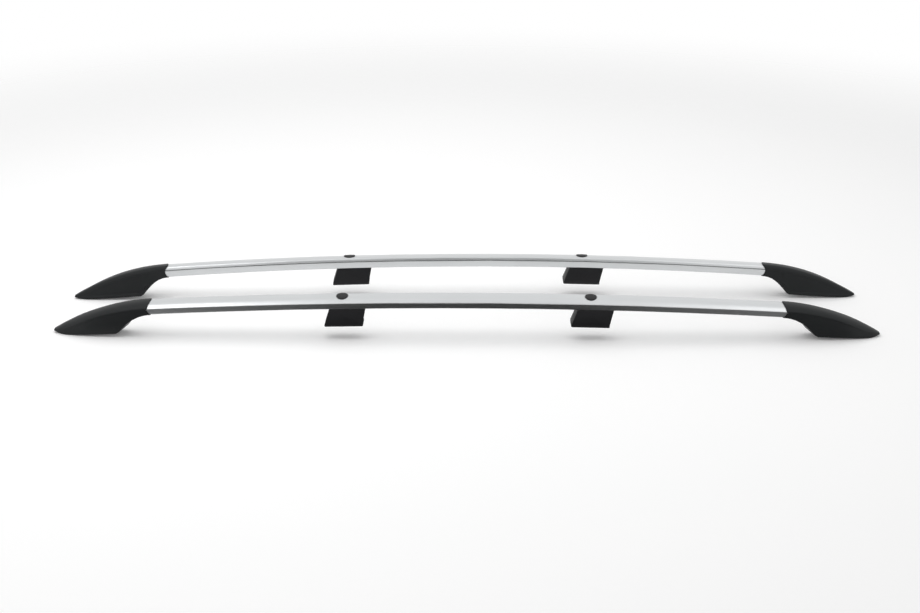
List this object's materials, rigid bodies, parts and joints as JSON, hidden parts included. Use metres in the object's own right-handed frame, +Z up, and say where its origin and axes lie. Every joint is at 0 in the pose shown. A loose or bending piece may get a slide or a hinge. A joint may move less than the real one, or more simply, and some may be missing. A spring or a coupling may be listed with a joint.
{
  "type": "roof side rail pair",
  "caption": "Arched aluminium roof side rails with black moulded end feet and raked middle legs, for carrying cross bars along both sides of a vehicle roof.",
  "frame": {"origin": "on the ground between the two rails at half length, under the middle of the pair's box", "axes": "+X along the rails towards the rear of the vehicle, +Y towards the right-hand rail, +Z up"},
  "size_m": [1.836, 0.2994, 0.1003],
  "materials": {
    "anodised_aluminium": "satin anodised extrusion",
    "cap_plastic": "fine-grained moulded plastic",
    "leg_plastic": "fine-grained moulded plastic",
    "cast_aluminium": "as cast",
    "zinc_steel": "zinc plated",
    "rubber": "moulded rubber"
  },
  "bodies": {
    "root": {"left_bar": "anodised_aluminium", "right_bar": "anodised_aluminium", "left_front_cap": "cap_plastic", "left_rear_cap": "cap_plastic", "right_front_cap": "cap_plastic", "right_rear_cap": "cap_plastic", "left_front_bracket": "cast_aluminium", "left_rear_bracket": "cast_aluminium", "right_front_bracket": "cast_aluminium", "right_rear_bracket": "cast_aluminium", "left_front_bracket_screws": "zinc_steel", "left_rear_bracket_screws": "zinc_steel", "right_front_bracket_screws": "zinc_steel", "right_rear_bracket_screws": "zinc_steel", "left_front_gasket": "rubber", "left_rear_gasket": "rubber", "right_front_gasket": "rubber", "right_rear_gasket": "rubber", "left_front_leg": "leg_plastic", "left_rear_leg": "leg_plastic", "right_front_leg": "leg_plastic", "right_rear_leg": "leg_plastic", "left_front_leg_sleeve": "zinc_steel", "left_rear_leg_sleeve": "zinc_steel", "right_front_leg_sleeve": "zinc_steel", "right_rear_leg_sleeve": "zinc_steel", "left_front_leg_screws": "zinc_steel", "left_rear_leg_screws": "zinc_steel", "right_front_leg_screws": "zinc_steel", "right_rear_leg_screws": "zinc_steel", "left_front_leg_gasket": "rubber", "left_rear_leg_gasket": "rubber", "right_front_leg_gasket": "rubber", "right_rear_leg_gasket": "rubber", "left_front_plug": "rubber", "left_rear_plug": "rubber", "right_front_plug": "rubber", "right_rear_plug": "rubber"}
  },
  "joints": []
}
